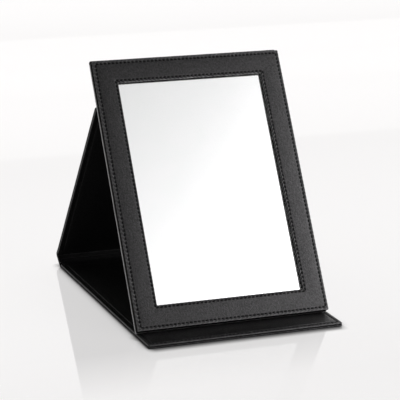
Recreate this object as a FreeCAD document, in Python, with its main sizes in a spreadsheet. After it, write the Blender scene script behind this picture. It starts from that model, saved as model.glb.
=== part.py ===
import FreeCAD, Part
import math
import os
import Sketcher
from FreeCAD import Placement, Rotation, Vector

# Folding countertop mirror: a rectangular glass mirror in a padded leatherette
# frame, on a book-like leatherette cover whose lower half lies flat as the base
# and whose upper half is the rear leg.  A narrow spine joins the two.
#
# Frame: +X to the object's right (seen from the front), -Y the way the glass
# faces, +Z up.  Origin: on the underside of the base, at the middle of the whole
# footprint (base and spine).  Sizes in millimetres, angles in degrees.
# Dimensions named *_y are measured back from the base's front edge.

# ---------------------------------------------------------------- dimensions
DIMS = [
    # mirror panel: outline, front layer and back layer
    ("panel_width", 184.5), ("panel_height", 254.2), ("panel_depth", 10.0),
    ("panel_tilt", 60.1), ("border", 21.8), ("layer", 6.0), ("back_layer", 3.6),
    ("corner_round", 1.7), ("edge_round", 1.4),
    # leatherette, its turned-in edges, and the gap left between touching pieces
    ("skin", 0.8), ("slack", 0.05), ("flange", 12.0), ("lip_fold", 5.0), ("lip_under", 1.2),
    # glass, the tape and card behind it, and the tape joining the two layers
    ("glass_overlap", 6.0), ("glass_thick", 3.0), ("glass_chamfer", 0.25), ("glass_play", 0.2),
    ("tape_thick", 0.4), ("tape_width", 9.0), ("tape_lap", 3.0), ("filler_lift", 0.1),
    ("join_inset", 3.0), ("join_margin", 0.6), ("join_thick", 0.3),
    # stitching: insets of the seam lines from the edge and from the opening
    ("thread_width", 0.7), ("thread_depth", 0.3), ("groove_width", 1.0),
    ("groove_depth", 0.38), ("stitch_outer", 3.0), ("stitch_inner", 2.2),
    # crease and the strip above it; crease_off is measured behind the panel's back
    ("crease_height", 213.15), ("crease_off", 2.55), ("crease_inset", 0.8),
    ("strip_thick", 3.4), ("strip_gap", 1.4), ("strip_rise", 4.2), ("strip_inset", 0.5),
    # closure plates and magnets
    ("disc_radius", 6.0), ("disc_thick", 1.0), ("disc_spacing", 110.0),
    ("disc_inset", 8.0), ("disc_play", 0.2), ("base_magnet_y", 24.0),
    # outer cover, shared by base and leg
    ("cover_width", 186.0), ("cover_inset", 3.5), ("cover_flange", 13.0), ("cover_edge", 0.9),
    ("base_corner", 2.0), ("flange_thick", 0.55),
    ("lining_inset", 5.4), ("lining_thick", 0.45), ("lining_corner", 1.5),
    ("base_depth", 271.0), ("base_shell", 3.4),
    # leg, measured from its lower end to the crease axis
    ("leg_length", 226.0), ("leg_angle", 51.9), ("leg_outer", 3.65), ("leg_inner", 0.35),
    ("leg_end_low", 2.0), ("leg_end_top", 2.4), ("leg_pivot_out", 2.2),
    # spine and the rolled hinges on its two axes
    ("spine_end", 1.75), ("spine_out", 1.6), ("spine_in", 1.2), ("spine_flange", 3.0),
    ("spine_corner", 0.9), ("spine_edge", 0.6), ("spine_lining_inset", 1.2),
    ("spine_lining_corner", 0.8),
    ("bead_radius", 1.2), ("bead_inset", 1.5), ("bead_round", 0.3),
    # where the parts stand
    ("foot_y", 34.193), ("foot_gap", 0.10), ("panel_shift", -1.45),
    ("hinge_y", 273.2), ("hinge_z", 2.2), ("origin_back", 142.56),
]
size = dict(DIMS)

# ---------------------------------------------------------------- hinge axes
# Points and directions in the Y-Z plane, Y measured back from the base's front edge.
tilt = math.radians(size["panel_tilt"])
lean = math.radians(size["leg_angle"])
panel_up = Vector(0, math.cos(tilt), math.sin(tilt))
panel_out = Vector(0, -math.sin(tilt), math.cos(tilt))  # out of the glass
leg_up = Vector(0, -math.cos(lean), math.sin(lean))
leg_rear = Vector(0, math.sin(lean), math.cos(lean))    # towards the leg's outer side

# The panel's rounded foot edge stands foot_gap above the base lining; the sharp
# corner it replaces, from which the panel is placed, lies lower.
round_lift = size["edge_round"] * (math.sin(tilt) + math.cos(tilt) - 1.0)
base_top = size["base_shell"] + size["slack"] + size["lining_thick"]
foot = Vector(0, size["foot_y"], base_top + size["foot_gap"] - round_lift)

crease = foot + panel_up * size["crease_height"] - panel_out * size["crease_off"]
leg_zero = crease - leg_up * size["leg_length"]
leg_axis = leg_zero + leg_rear * size["leg_pivot_out"]
base_axis = Vector(0, size["hinge_y"], size["hinge_z"])
spine = leg_axis - base_axis
spine_angle = math.degrees(math.atan2(spine.z, spine.y))

# ---------------------------------------------------------------- sheet
doc = FreeCAD.newDocument("folding_mirror")
sheet = doc.addObject("Spreadsheet::Sheet", "dims")
for row, (alias, number) in enumerate(DIMS + [("spine_length", round(spine.Length, 4))], start=1):
    sheet.set("A%d" % row, alias)
    sheet.set("B%d" % row, str(number))
    sheet.setAlias("B%d" % row, alias)
doc.recompute()


# ---------------------------------------------------------------- modelling aids
# Lengths are passed as formulas: text in which {alias} stands for a sheet cell.
def expression(formula):
    return formula.replace("{", "dims.").replace("}", "")


def value(formula):
    """The number a formula stands for."""
    result = sheet.evalExpression(expression(formula))
    return float(getattr(result, "Value", result))


def drive(feature, prop, formula):
    """Sets a property and binds it to its formula."""
    setattr(feature, prop, value(formula))
    feature.setExpression(prop, expression(formula))


def new_sketch(body, name, z, role="XY_Plane"):
    """An empty sketch on one of the body's planes, lifted by z along its normal."""
    plane = next(item for item in body.Origin.OriginFeatures if item.Role == role)
    sketch = body.newObject("Sketcher::SketchObject", name)
    sketch.AttachmentSupport = (plane, "")
    sketch.MapMode = "FlatFace"
    sketch.AttachmentOffset = Placement(Vector(0, 0, value(z)), Rotation())
    sketch.setExpression("AttachmentOffset.Base.z", expression(z))
    return sketch


def dimension(sketch, name, kind, refs, formula):
    """A named constraint held by a formula."""
    index = sketch.addConstraint(Sketcher.Constraint(kind, *refs, value(formula)))
    sketch.renameConstraint(index, name)
    sketch.setExpression("Constraints." + name, expression(formula))


def add_loop(sketch, points):
    """Closed chain of lines through (x, y) points; returns the line numbers."""
    count = len(points)
    lines = []
    for i in range(count):
        start, end = Vector(*points[i], 0), Vector(*points[(i + 1) % count], 0)
        lines.append(sketch.addGeometry(Part.LineSegment(start, end), False))
    for i in range(count):
        sketch.addConstraint(
            Sketcher.Constraint("Coincident", lines[i], 2, lines[(i + 1) % count], 1))
    return lines


def add_rect(sketch, key, x0, x1, y0, y1):
    left, right, low, high = (value(side) for side in (x0, x1, y0, y1))
    lines = add_loop(sketch, [(left, low), (right, low), (right, high), (left, high)])
    for i in (0, 2):
        sketch.addConstraint(Sketcher.Constraint("Horizontal", lines[i]))
        sketch.addConstraint(Sketcher.Constraint("Vertical", lines[i + 1]))
    for tag, kind, line, formula in (("left", "DistanceX", lines[0], x0),
                                     ("low", "DistanceY", lines[0], y0),
                                     ("right", "DistanceX", lines[2], x1),
                                     ("high", "DistanceY", lines[2], y1)):
        dimension(sketch, key + "_" + tag, kind, (-1, 1, line, 1), formula)


def add_circle(sketch, key, x, y, radius):
    circle = Part.Circle(Vector(value(x), value(y), 0), Vector(0, 0, 1), value(radius))
    index = sketch.addGeometry(circle, False)
    dimension(sketch, key + "_x", "DistanceX", (-1, 1, index, 3), x)
    dimension(sketch, key + "_y", "DistanceY", (-1, 1, index, 3), y)
    dimension(sketch, key + "_r", "Radius", (index,), radius)


def rect_sketch(body, name, z, outer, inner=None):
    """A sketch of one rectangle, or of a ring between two."""
    sketch = new_sketch(body, name, z)
    add_rect(sketch, "outer", *outer)
    if inner:
        add_rect(sketch, "inner", *inner)
    return sketch


def pad(body, name, sketch, length, midplane=False):
    feature = body.newObject("PartDesign::Pad", name)
    feature.Profile = sketch
    if midplane:
        feature.Midplane = True
    drive(feature, "Length", length)
    doc.recompute()


def pocket(body, name, sketch, depth):
    """Cuts from the sketch plane towards -Z; a pocket that misses is an error."""
    before = body.Shape.Volume
    feature = body.newObject("PartDesign::Pocket", name)
    feature.Profile = sketch
    drive(feature, "Length", depth)
    doc.recompute()
    if not body.Shape.Volume < before - 1e-3:
        raise RuntimeError("pocket %s of %s cut nothing" % (name, body.Label))


def rect_pocket(body, name, z, depth, outer, inner=None):
    pocket(body, name, rect_sketch(body, name + "_outline", z, outer, inner), depth)


def upright(edge):
    box = edge.BoundBox
    return box.XLength < 1e-6 and box.YLength < 1e-6 and box.ZLength > 1e-6


def level(edge):
    return edge.BoundBox.ZLength < 1e-6


def at_height(z):
    return lambda edge: level(edge) and abs(edge.BoundBox.ZMin - z) < 1e-6


def dress(body, kind, name, test, formula):
    """Fillets or chamfers the edges that pass the test."""
    edges = ["Edge%d" % i for i, edge in enumerate(body.Shape.Edges, start=1) if test(edge)]
    if not edges:
        raise RuntimeError("no edges for %s of %s" % (name, body.Label))
    base = body.Tip
    feature = body.newObject("PartDesign::" + kind, name)
    feature.Base = (base, edges)
    drive(feature, {"Fillet": "Radius", "Chamfer": "Size"}[kind], formula)
    doc.recompute()


def round_rims(body, low, high, names=("edge_low", "edge_high")):
    """Rounds the rim of the bottom face (unless low is None) and of the top face."""
    box = body.Shape.BoundBox
    for name, z, radius in zip(names, (box.ZMin, box.ZMax), (low, high)):
        if radius:
            dress(body, "Fillet", body.Label + "_" + name, at_height(z), radius)


# ---------------------------------------------------------------- shared pieces
def outline(width, low, high):
    """A function giving a rectangle centred on X, moved inwards by an inset."""
    def rect(inset="0"):
        return ("-%s/2 + (%s)" % (width, inset), "%s/2 - (%s)" % (width, inset),
                "(%s) + (%s)" % (low, inset), "(%s) - (%s)" % (high, inset))
    return rect


def plate(label, outer, z, thick, hole=None, corner=None):
    """A flat board or sheet, with a rectangular hole or rounded corners when asked."""
    body = doc.addObject("PartDesign::Body", label)
    pad(body, label + "_pad", rect_sketch(body, label + "_outline", z, outer, hole), thick)
    if corner:
        dress(body, "Fillet", label + "_corners", upright, corner)
    return body


# A wrapped layer is given as (rect, bottom, thick, top_wall): its outline function,
# the height of its underside, its thickness and the thickness of the sheet on top.
# The sheet below and at the sides is always one skin thick.
def wrapped_cover(label, rect, bottom, thick, top_wall, flange, corner, edge_low, edge_high,
                  open_below=False):
    """A sheet wrapped round a board: a face, four side walls and a turned-in flange
    round a mouth in the top, or in the bottom."""
    body = plate(label, rect(), bottom, thick, corner=corner)
    round_rims(body, edge_low, edge_high)
    top = "(%s) + (%s)" % (bottom, thick)
    cavity_low = "(%s) + {skin}" % bottom
    cavity_high = "%s - %s" % (top, top_wall)
    rect_pocket(body, label + "_cavity", cavity_high,
                "(%s) - (%s)" % (cavity_high, cavity_low), rect("{skin}"))
    mouth_z, mouth_depth = (cavity_low, "{skin}") if open_below else (top, top_wall)
    rect_pocket(body, label + "_mouth", mouth_z, mouth_depth, rect(flange))
    return body


def inner_board(label, rect, bottom, thick, top_wall, hole=None):
    """The board inside a wrapped layer, with slack all round."""
    return plate(label, rect("{skin} + {slack}"), "(%s) + {skin} + {slack}" % bottom,
                 "(%s) - {skin} - %s - 2*{slack}" % (thick, top_wall), hole)


def seam(cover, prefix, rect, inset, groove_top):
    """Cuts a stitching groove into a cover and returns the thread ring lying in it."""
    def band(width):
        return rect("%s - %s/2" % (inset, width)), rect("%s + %s/2" % (inset, width))
    rect_pocket(cover, prefix + "_groove", groove_top, "{groove_depth}",
                *band("{groove_width}"))
    outer, inner = band("{thread_width}")
    return plate(prefix + "_stitching", outer,
                 "%s - {groove_depth} + {slack}" % groove_top, "{thread_depth}", inner)


SIDES = (("left", "-1"), ("right", "1"))


def disc_pockets(board, name, y, z, depth):
    """Two round pockets for a pair of discs."""
    sketch = new_sketch(board, name + "_outline", z)
    for side, sign in SIDES:
        add_circle(sketch, side, sign + "*{disc_spacing}/2", y, "{disc_radius} + {disc_play}")
    pocket(board, name, sketch, depth)


def discs(label, y, z):
    """A pair of discs as one piece."""
    pair = []
    for side, sign in SIDES:
        disc = doc.addObject("Part::Cylinder", label + "_" + side)
        for prop, formula in (("Radius", "{disc_radius}"), ("Height", "{disc_thick}"),
                              ("Placement.Base.x", sign + "*{disc_spacing}/2"),
                              ("Placement.Base.y", y), ("Placement.Base.z", z)):
            disc.setExpression(prop, expression(formula))
        pair.append(disc)
    both = doc.addObject("Part::Fuse", label)
    both.Base, both.Tool = pair
    doc.recompute()
    return both


# ---------------------------------------------------------------- mirror panel
# Built flat: X across, Y up the panel from its foot, Z out of the glass, the front
# face at Z = 0 and the back face at Z = -panel_depth.
panel_rect = outline("{panel_width}", "0", "{panel_height}")
front_layer = (panel_rect, "-{layer}", "{layer}", "{skin}")
rear_layer = (panel_rect, "-{panel_depth}", "{back_layer}", "{skin}")
disc_y = "{panel_height} - {disc_inset}"

# Front leatherette cover: face ring, rounded outer wall, a flange turned in behind
# the frame board and a lip folded under round the opening.
frame_cover = wrapped_cover("frame_cover", *front_layer, flange="{flange}",
                            corner="{corner_round}", edge_low="{edge_round}/2",
                            edge_high="{edge_round}", open_below=True)
rect_pocket(frame_cover, "opening", "0", "{skin}", panel_rect("{border}"))
pad(frame_cover, "lip",
    rect_sketch(frame_cover, "lip_outline", "-{skin} - {lip_under}",
                panel_rect("{border} - {lip_fold}"), panel_rect("{border}")), "{lip_under}")
outer_stitching = seam(frame_cover, "outer", panel_rect, "{stitch_outer}", "0")
inner_stitching = seam(frame_cover, "inner", panel_rect, "{border} - {stitch_inner}", "0")

# Greyboard ring round the glass, with two round pockets for the closure plates.
frame_board = inner_board("frame_board", *front_layer,
                          hole=panel_rect("{border} - {glass_overlap} - {glass_play}"))
disc_pockets(frame_board, "plate_pockets", disc_y, "-{skin} - {slack}",
             "{disc_thick} + {disc_play}")

# Steel closure plates hidden in the top border of the frame.
closure_plates = discs("closure_plates", disc_y, "-{skin} - 2*{slack} - {disc_thick}")

# Mirror glass, silvered on its back, held behind the folded lip.
glass_back = "-{skin} - {lip_under} - {slack} - {glass_thick}"
mirror_glass = plate("mirror_glass", panel_rect("{border} - {glass_overlap}"),
                     glass_back, "{glass_thick}")
dress(mirror_glass, "Chamfer", "glass_edges", level, "{glass_chamfer}")

# Double-sided tape behind the glass.
tape_back = glass_back + " - {slack} - {tape_thick}"
glass_tape = plate("glass_tape", panel_rect("{border} - {tape_lap}"), tape_back,
                   "{tape_thick}", panel_rect("{border} - {tape_lap} + {tape_width}"))

# Card that fills the recess behind the tape.
filler_card = plate("filler_card", panel_rect("{border} - {glass_overlap} + {glass_play}"),
                    "-{layer} + {filler_lift}",
                    "{layer} - {filler_lift} + (%s) - {slack}" % tape_back)

# Tape that joins the front half of the panel to the back half.
joining_tape = plate("joining_tape", panel_rect("{join_inset}"),
                     "-{layer} - {slack} - {join_thick}", "{join_thick}",
                     panel_rect("{flange} - {join_margin}"))

# Back half: a board wrapped in leatherette.
back_cover = wrapped_cover("back_cover", *rear_layer, flange="{flange}",
                           corner="{corner_round}", edge_low="{edge_round}",
                           edge_high="{edge_round}/2")
backing_board = inner_board("backing_board", *rear_layer)

# The upper end of the outer cover: a covered strip glued to the panel's back above
# the crease.  It is nearly as wide as the cover and stands a little above the panel.
top_strip = plate("top_strip",
                  ("-{cover_width}/2 - {panel_shift} + {strip_inset}",
                   "{cover_width}/2 - {panel_shift} - {strip_inset}",
                   "{crease_height} + {strip_gap}", "{panel_height} + {strip_rise}"),
                  "-{panel_depth} - {slack} - {strip_thick}", "{strip_thick}",
                  corner="{base_corner}")
round_rims(top_strip, "{cover_edge}", "{cover_edge}", names=("back_edge", "front_edge"))

# ---------------------------------------------------------------- rear leg
# Built flat: Y up the leg from the lower end to the crease axis at Y = leg_length,
# Z towards the mirror.  The crease axis is at Z = 0, just below the lining's face.
leg_top = "{leg_length} - {leg_end_top}"
leg_rect = outline("{cover_width}", "{leg_end_low}", leg_top)
leg_layer = (leg_rect, "-{leg_outer}",
             "{leg_outer} + {leg_inner} - {lining_thick} - {slack}", "{flange_thick}")

leg_cover = wrapped_cover("leg_cover", *leg_layer, flange="{cover_flange}",
                          corner="{base_corner}", edge_low="{cover_edge}",
                          edge_high="{cover_edge}/2")
# This seam is on the underside, so its groove starts one groove depth up.
leg_stitching = seam(leg_cover, "leg", leg_rect, "{cover_inset}",
                     "-{leg_outer} + {groove_depth}")
leg_board = inner_board("leg_board", *leg_layer)
leg_lining = plate("leg_lining", leg_rect("{lining_inset}"), "{leg_inner} - {lining_thick}",
                   "{lining_thick}", corner="{lining_corner}")

# Section of the leatherette at the crease: y, z of its corners, in order round it.
CREASE_PROFILE = [
    (leg_top + " + 0.1", "-{leg_outer} + 0.4"),
    (leg_top + " + 1.0", "-{leg_outer} + 0.5"),
    ("{leg_length} + 0.35", "-0.30"),
    ("{leg_length} + 0.40", "0.0"),
    ("{leg_length} + 0.28", "0.28"),
    ("{leg_length} + 0.0", "0.40"),
    ("{leg_length} - 0.30", "0.28"),
    (leg_top + " + 0.1", "-{leg_outer} + 1.9"),
]


def build_crease_hinge():
    """The outer sheet between the leg's upper end and the glued strip."""
    body = doc.addObject("PartDesign::Body", "crease_hinge")
    sketch = new_sketch(body, "crease_hinge_profile", "0", "YZ_Plane")
    lines = add_loop(sketch, [(value(y), value(z)) for y, z in CREASE_PROFILE])
    for i, (line, (y, z)) in enumerate(zip(lines, CREASE_PROFILE)):
        dimension(sketch, "p%d_y" % i, "DistanceX", (-1, 1, line, 1), y)
        dimension(sketch, "p%d_z" % i, "DistanceY", (-1, 1, line, 1), z)
    pad(body, "crease_hinge_pad", sketch, "{panel_width} - 2*{crease_inset}", midplane=True)
    return body


crease_hinge = build_crease_hinge()

# ---------------------------------------------------------------- spine and its hinges
# Built flat: Y from the base hinge axis to the leg hinge axis, Z towards the mirror.
spine_rect = outline("{cover_width}", "{spine_end}", "{spine_length} - {spine_end}")
spine_layer = (spine_rect, "-{spine_out}", "{spine_out} + {spine_in}", "{flange_thick}")

spine_cover = wrapped_cover("spine_cover", *spine_layer, flange="{spine_flange}",
                            corner="{spine_corner}", edge_low="{spine_edge}",
                            edge_high="{spine_edge}/2")
spine_board = inner_board("spine_board", *spine_layer)
spine_lining = plate("spine_lining", spine_rect("{spine_lining_inset}"),
                     "{spine_in} + {slack}", "{lining_thick}", corner="{spine_lining_corner}")


def bead(label, y):
    """A rolled leatherette hinge along X, its two end rims rounded."""
    length = "{cover_width} - 2*{bead_inset}"
    roll = doc.addObject("Part::Cylinder", label + "_roll")
    roll.setExpression("Radius", expression("{bead_radius}"))
    roll.setExpression("Height", expression(length))
    roll.Placement = Placement(Vector(-value(length) / 2, value(y), 0),
                               Rotation(Vector(0, 1, 0), 90))
    doc.recompute()
    rounded = doc.addObject("Part::Fillet", label)
    rounded.Base = roll
    radius = size["bead_round"]
    rounded.Edges = [(i, radius, radius) for i, edge in enumerate(roll.Shape.Edges, start=1)
                     if edge.Closed and edge.BoundBox.XLength < 1e-6]
    doc.recompute()
    return rounded


base_hinge = bead("base_hinge", "0")
leg_hinge = bead("leg_hinge", "{spine_length}")

# ---------------------------------------------------------------- base
# Built in place, apart from the shift to the origin: Y back from its front edge.
base_rect = outline("{cover_width}", "0", "{base_depth}")
base_layer = (base_rect, "0", "{base_shell}", "{flange_thick}")

base_cover = wrapped_cover("base_cover", *base_layer, flange="{cover_flange}",
                           corner="{base_corner}", edge_low=None, edge_high="{cover_edge}")
base_stitching = seam(base_cover, "base", base_rect, "{cover_inset}", "{base_shell}")

# Board with two holes right through it for the magnets.
base_board = inner_board("base_board", *base_layer)
disc_pockets(base_board, "magnet_holes", "{base_magnet_y}",
             "{base_shell} - {flange_thick} - {slack}",
             "{base_shell} - {skin} - {flange_thick} - 2*{slack}")
closure_magnets = discs("closure_magnets", "{base_magnet_y}", "{skin} + {disc_play}")

base_lining = plate("base_lining", base_rect("{lining_inset}"), "{base_shell} + {slack}",
                    "{lining_thick}", corner="{lining_corner}")


# ---------------------------------------------------------------- put in place
def stand(point, angle):
    """Placement at a point of the Y-Z layout, turned about X."""
    return Placement(point - Vector(0, size["origin_back"], 0),
                     Rotation(Vector(1, 0, 0), angle))


# The panel is glued to the cover off centre, by panel_shift along X.
panel_zero = foot + panel_out * size["panel_depth"] + Vector(size["panel_shift"], 0, 0)
PARTS = [
    (stand(panel_zero, size["panel_tilt"]),
     [frame_cover, outer_stitching, inner_stitching, frame_board, mirror_glass, glass_tape,
      filler_card, joining_tape, back_cover, backing_board, top_strip, closure_plates]),
    (stand(leg_zero, 180.0 - size["leg_angle"]),
     [leg_cover, leg_stitching, leg_board, leg_lining, crease_hinge]),
    (stand(base_axis, spine_angle),
     [spine_cover, spine_board, spine_lining, base_hinge, leg_hinge]),
    (stand(Vector(0, 0, 0), 0),
     [base_cover, base_stitching, base_board, base_lining, closure_magnets]),
]
for place, pieces in PARTS:
    for piece in pieces:
        piece.Placement = place
doc.recompute()

# ---------------------------------------------------------------- checks and export
for item in doc.Objects:
    if "Invalid" in item.State or "Error" in item.State:
        raise RuntimeError("%s failed: %s" % (item.Name, item.State))

all_pieces = [piece for place, pieces in PARTS for piece in pieces]
for piece in all_pieces:
    shape = piece.Shape
    if shape.isNull() or not shape.isValid():
        raise RuntimeError("bad shape: " + piece.Label)
    if any(not solid.isClosed() or solid.Volume <= 0 for solid in shape.Solids):
        raise RuntimeError("open solid: " + piece.Label)

os.makedirs("parts", exist_ok=True)
for piece in all_pieces:
    piece.Shape.exportStep("parts/%s.step" % piece.Label)
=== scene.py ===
# A table mirror in a leatherette cover that folds out into its own easel.
# The base lies flat on the floor, the spine rises from its rear edge, the leg leans
# forward from the spine, and the mirror panel hangs from the crease at the leg's top
# with its lower edge resting on the base.
# Frame: metres, +Z up, +X to the viewer's right; the mirror faces -Y and upwards.
import math

import bmesh
import bpy
import numpy as np
from mathutils import Matrix, Vector


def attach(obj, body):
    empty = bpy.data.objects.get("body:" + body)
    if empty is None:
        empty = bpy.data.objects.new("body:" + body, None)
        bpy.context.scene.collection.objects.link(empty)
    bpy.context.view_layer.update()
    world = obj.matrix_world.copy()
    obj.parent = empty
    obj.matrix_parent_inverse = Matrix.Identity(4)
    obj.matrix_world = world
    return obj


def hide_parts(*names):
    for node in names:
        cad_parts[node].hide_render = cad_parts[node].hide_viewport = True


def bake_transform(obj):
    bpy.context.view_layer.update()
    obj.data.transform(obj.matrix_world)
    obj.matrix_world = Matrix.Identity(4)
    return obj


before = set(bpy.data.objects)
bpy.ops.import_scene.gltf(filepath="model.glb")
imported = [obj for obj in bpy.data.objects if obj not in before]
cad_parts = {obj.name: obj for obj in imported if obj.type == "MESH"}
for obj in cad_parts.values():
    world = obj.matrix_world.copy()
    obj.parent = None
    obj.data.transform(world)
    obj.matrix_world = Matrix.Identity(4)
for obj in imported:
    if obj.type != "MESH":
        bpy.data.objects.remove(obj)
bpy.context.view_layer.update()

scene = bpy.context.scene

# ------------------------------------------------------------------ dimensions (mm)
MM = 0.001                                       # one millimetre in the frame's metres
PANEL_W, PANEL_H, PANEL_T = 184.5, 254.2, 10.0   # mirror panel
PANEL_X = -1.45                                  # the panel's middle, beside the cover's
FRONT_LAYER = 6.0                                # thickness of the panel's front half
BORDER = 21.8                                    # width of the leather round the glass
STITCH_OUT = 2.9                                 # outer row, from the panel's edge
STITCH_IN = BORDER - 2.2                         # inner row, from the panel's edge
PITCH = 3.8                                      # nominal length of a stitch
COVER_W = 186.0                                  # base, spine and leg
COVER_STITCH = 3.5                               # cover's rows, from the boards' edges
BASE_D, BASE_T = 271.0, 3.4
LEG_L, LEG_Y0, LEG_Y1 = 226.0, 2.0, 223.6        # hinge to crease, and the board's ends
LEG_OUT, LEG_IN = -3.65, -0.15                   # the leg's faces in its own z
SPINE_L, SPINE_GAP = 13.497, 1.75                # spine, and what it falls short each end
STRIP_T, STRIP_Y0, STRIP_Y1 = 3.4, 214.55, 258.4  # strip on the panel's back
STRIP_IN = 0.5                                   # strip narrower than the cover, each side
STRIP_FACE = -PANEL_T - 0.05                     # the strip's glued face, in panel z
STRIP_OUT = STRIP_FACE - STRIP_T
LINING_IN = 5.4                                  # lining's inset from the boards' edges

FRONT_Y = -142.56                                # the base's front edge
FOOT = (FRONT_Y + 34.193, 3.488)                 # y, z of the panel's lower rear edge
CREASE = (0.0962, 186.9964)                      # y, z of the leg's upper end
TILT = math.radians(60.1)                        # panel's slope from the floor
LEAN = math.radians(51.9)                        # leg's slope from the floor
SPINE_ANGLE = math.radians(37.985)


def placement(y, z, angle, x=0):
    return Matrix.Translation((x, y, z)) @ Matrix.Rotation(angle, 4, "X")


# In each piece's own axes x runs across and y from its lower or front end. Its z is
# out of the glass for the panel, and towards the lining for the base, spine and leg.
PLACES = {
    "mirror_panel": placement(FOOT[0] - PANEL_T * math.sin(TILT),
                              FOOT[1] + PANEL_T * math.cos(TILT), TILT, x=PANEL_X),
    "leg": placement(CREASE[0] + LEG_L * math.cos(LEAN),
                     CREASE[1] - LEG_L * math.sin(LEAN), math.pi - LEAN),
    "spine": placement(130.64, 2.2, SPINE_ANGLE),
    "base": placement(FRONT_Y, 0, 0),
}


def register(piece, rides=None, replaces=None):
    """Tells the frame what a piece stands for and what it moves with."""
    if replaces:
        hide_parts(replaces)
    if rides:
        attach(piece, rides)


# ------------------------------------------------------------------ shader building
class Shader:
    """A node tree under construction. Inputs take a number, a colour or a socket."""

    def __init__(self, owner, output="OutputMaterial"):
        owner.use_nodes = True
        self.tree = owner.node_tree
        self.tree.nodes.clear()
        self.output = self.node(output)

    def node(self, kind, inputs=(), **settings):
        node = self.tree.nodes.new("ShaderNode" + kind)
        for name, value in settings.items():
            setattr(node, name, value)
        pairs = inputs.items() if isinstance(inputs, dict) else enumerate(inputs)
        for key, value in pairs:
            socket = node.inputs[key]
            if isinstance(value, bpy.types.NodeSocket):
                self.tree.links.new(value, socket)
            elif socket.type == "RGBA":
                socket.default_value = (*value, 1)
            else:
                socket.default_value = value
        return node

    def finish(self, kind, inputs):
        """Makes the last node and joins it to the output."""
        last = self.node(kind, inputs)
        self.tree.links.new(last.outputs[0], self.output.inputs[0])

    def math(self, operation, first, second, clamp=False):
        return self.node("Math", [first, second], operation=operation,
                         use_clamp=clamp).outputs[0]

    def add(self, first, second, clamp=False):
        return self.math("ADD", first, second, clamp)

    def subtract(self, first, second, clamp=False):
        return self.math("SUBTRACT", first, second, clamp)

    def multiply(self, first, second, clamp=False):
        return self.math("MULTIPLY", first, second, clamp)

    def remap(self, value, over, to=(0.0, 1.0)):
        return self.node("MapRange", [value, *over, *to], clamp=True).outputs[0]

    def mix(self, factor, first, second):
        # 0 is the factor; 6 and 7 are the colours
        return self.node("Mix", {0: factor, 6: first, 7: second}, data_type="RGBA").outputs[2]

    def coords(self, which="Object"):
        return self.node("TexCoord").outputs[which]

    def attribute(self, name):
        return self.node("Attribute", attribute_name=name).outputs["Fac"]

    def noise(self, where, scale, detail=3.0, roughness=0.5, distortion=0.0, output="Fac"):
        return self.node("TexNoise", {"Scale": scale, "Detail": detail,
                                      "Roughness": roughness, "Distortion": distortion,
                                      "Vector": where}).outputs[output]

    def cells(self, where, scale, feature="DISTANCE_TO_EDGE"):
        return self.node("TexVoronoi", {"Scale": scale, "Vector": where},
                         feature=feature).outputs["Distance"]

    def warped(self, where, scale, amount):
        """Coordinates pushed about by noise, so that a pattern isn't regular."""
        colour = self.noise(where, scale, detail=1.0, output="Color")
        centred = self.node("VectorMath", [colour, (0.5, 0.5, 0.5)], operation="SUBTRACT")
        push = self.node("VectorMath", {0: centred.outputs[0], "Scale": amount},
                         operation="SCALE")
        return self.node("VectorMath", [where, push.outputs[0]], operation="ADD").outputs[0]

    def bump(self, height, strength, distance, normal=None):
        inputs = {"Strength": strength, "Distance": distance, "Height": height}
        if normal is not None:
            inputs["Normal"] = normal
        return self.node("Bump", inputs).outputs["Normal"]


def start_material(name):
    material = bpy.data.materials.new(name)
    return material, Shader(material)


def scaled(colour, factor):
    return tuple(factor * v for v in colour)


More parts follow.
